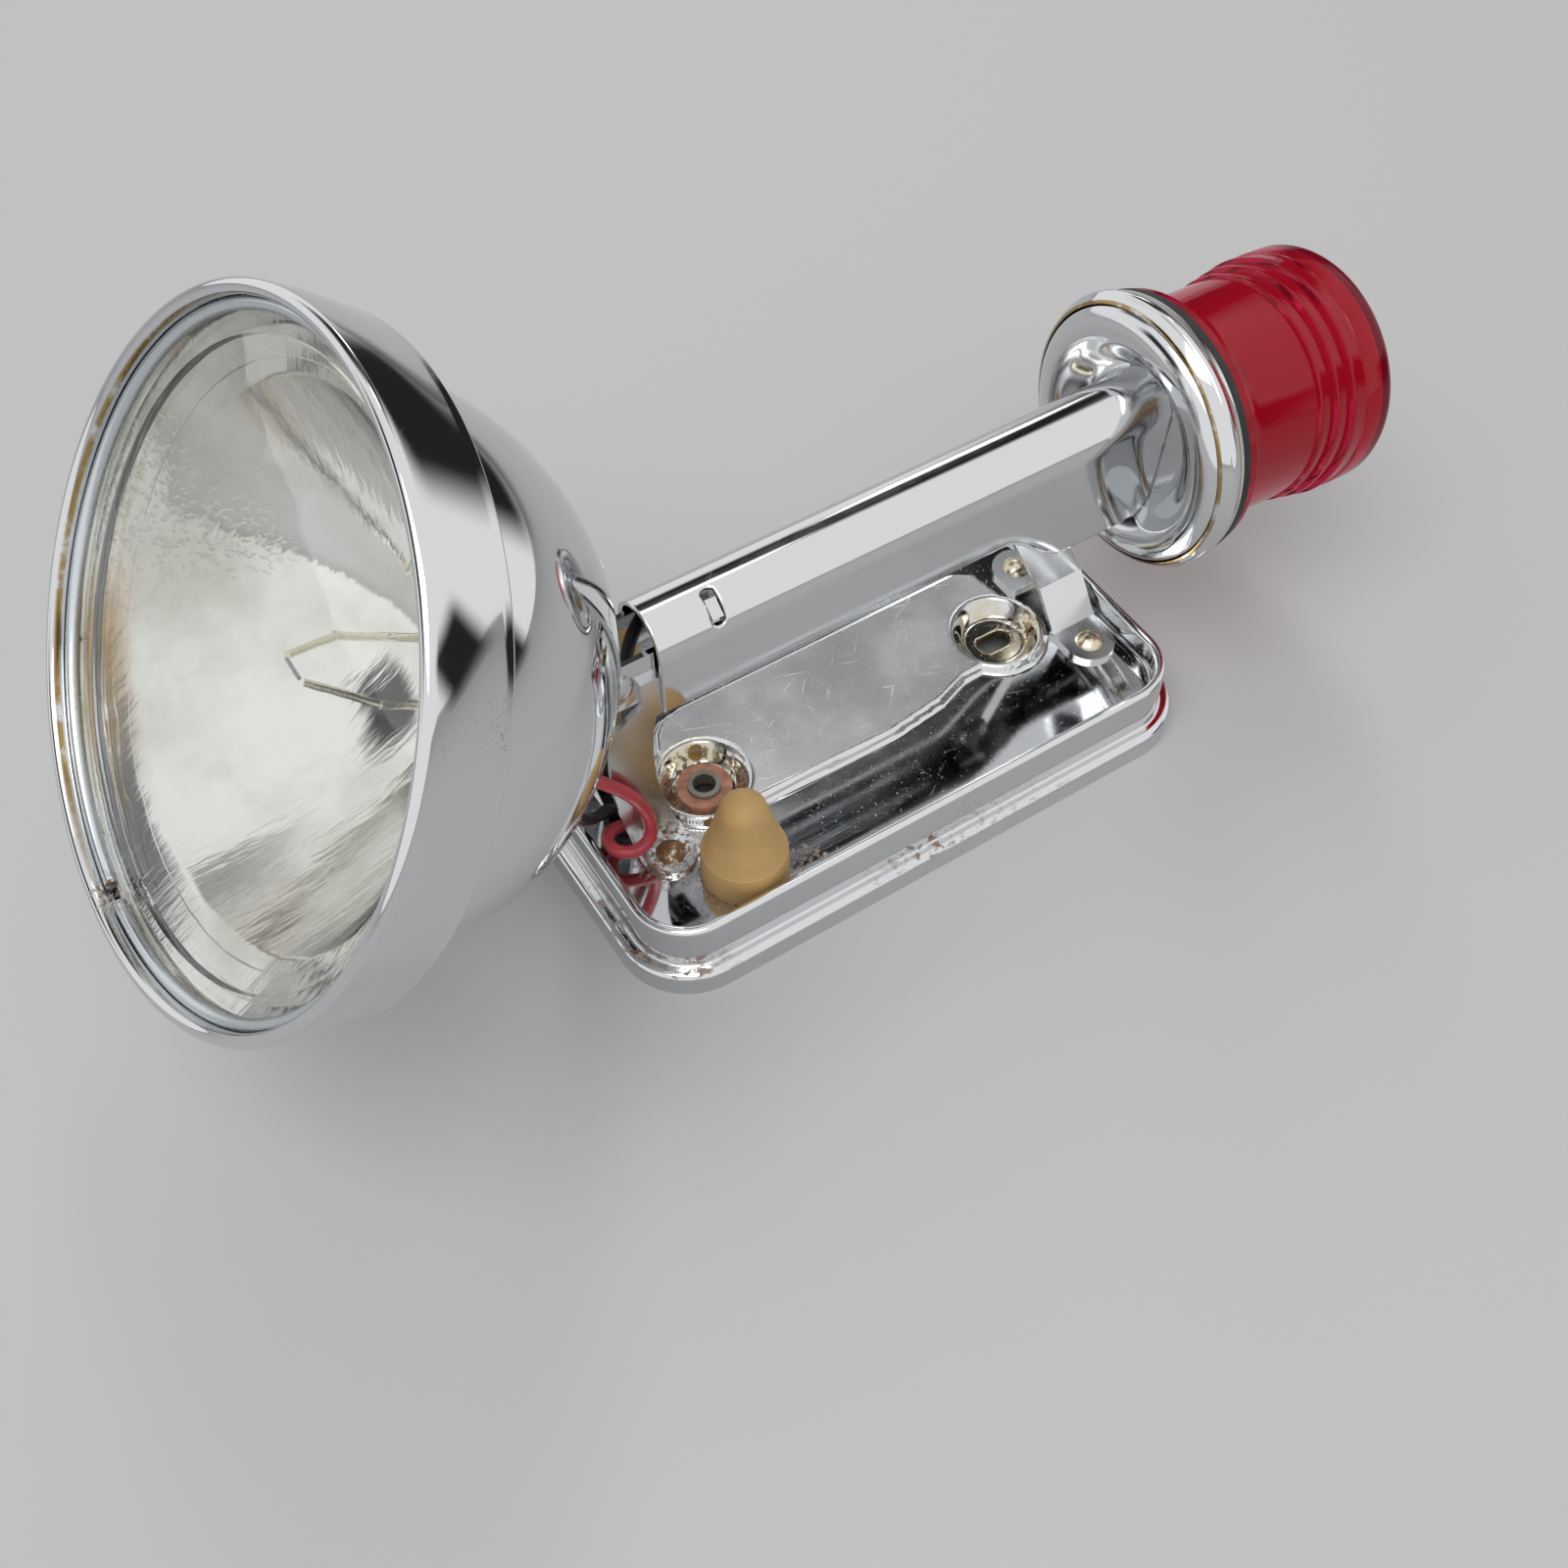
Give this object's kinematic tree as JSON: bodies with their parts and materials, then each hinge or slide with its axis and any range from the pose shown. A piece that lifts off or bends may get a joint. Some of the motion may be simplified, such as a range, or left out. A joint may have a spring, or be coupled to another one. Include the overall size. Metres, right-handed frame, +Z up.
{
  "type": "sealed beam lantern",
  "caption": "Chrome sealed beam hand lantern head with a tilting lamp, channel handle, red rear flasher and booted push switch, made to screw onto a lantern battery.",
  "frame": {"origin": "middle of the whole lantern's length and width, in the plane of the base cap's lower rim", "axes": "+X along the handle from the lamp to the red flasher, +Z up, +Y to the far side, away from the switch"},
  "size_m": [0.2785, 0.1196, 0.1538],
  "materials": {
    "chrome": "bright plated sheet with rust specks",
    "plated_steel": "dull plated steel",
    "rusted_rivet": "plated rivet with rust on its head",
    "spring_steel": "bare spring steel",
    "plated_ring": "blue grey plated ring",
    "brass": "plain brass",
    "bushing": "grey moulded insulator",
    "fibre": "salmon pressed fibre",
    "phenolic": "brown moulded insulator",
    "black_plastic": "black moulded plastic",
    "boot_rubber": "tan moulded rubber",
    "black_rubber": "black rubber",
    "silvered_glass": "silvered glass, slightly hazy",
    "clear_glass": "clear pressed glass",
    "red_plastic": "clear deep red plastic",
    "red_wire": "red plastic insulation",
    "black_wire": "black plastic insulation"
  },
  "bodies": {
    "lantern": {"base_plate": "chrome", "post_bushing": "bushing", "fibre_washer": "fibre", "contact_strip": "brass", "ground_washer": "brass", "switch_boot": "boot_rubber", "switch_body": "phenolic", "switch_nut": "plated_steel", "plunger_spring": "spring_steel", "front_bracket": "chrome", "rear_bracket": "chrome", "bracket_rivets": "rusted_rivet", "handle": "chrome", "head_arm": "chrome", "pivot_pin": "plated_steel", "friction_washers": "spring_steel", "tray_grommet": "black_rubber", "lead_red": "red_wire", "lead_black": "black_wire", "lead_flasher": "black_wire", "flasher_cup": "chrome", "cup_plate": "chrome", "cup_rivets": "plated_steel", "clamp_ring": "chrome", "lens_gasket": "black_rubber", "red_lens": "red_plastic", "bulb_socket": "brass", "bulb_base": "brass", "bulb_glass": "clear_glass"},
    "lamp_head": {"head_hinge": "chrome", "hinge_rivets": "plated_steel", "head_bowl": "chrome", "head_rim": "chrome", "lamp_seat": "black_rubber", "lamp_reflector": "silvered_glass", "lamp_lens": "clear_glass", "retaining_ring": "plated_ring", "filament_posts": "brass", "filament": "spring_steel", "lamp_terminals": "brass", "spade_connectors": "plated_steel"},
    "switch_button": {"switch_plunger": "black_plastic"}
  },
  "joints": [
    {"name": "head_tilt", "type": "hinge", "parent": "lantern", "child": "lamp_head", "pos_m": [-0.0409, 0, 0.061], "axis": [0, 1, 0], "range_deg": [-33, 20], "deforming": ["lead_red", "lead_black"]},
    {"name": "button_press", "type": "slide", "parent": "lantern", "child": "switch_button", "axis": [0, 0, -1], "range_m": [0, 0.003], "stiffness_N_per_m": 500, "springref_m": -0.001, "deforming": ["switch_boot", "plunger_spring"]}
  ]
}
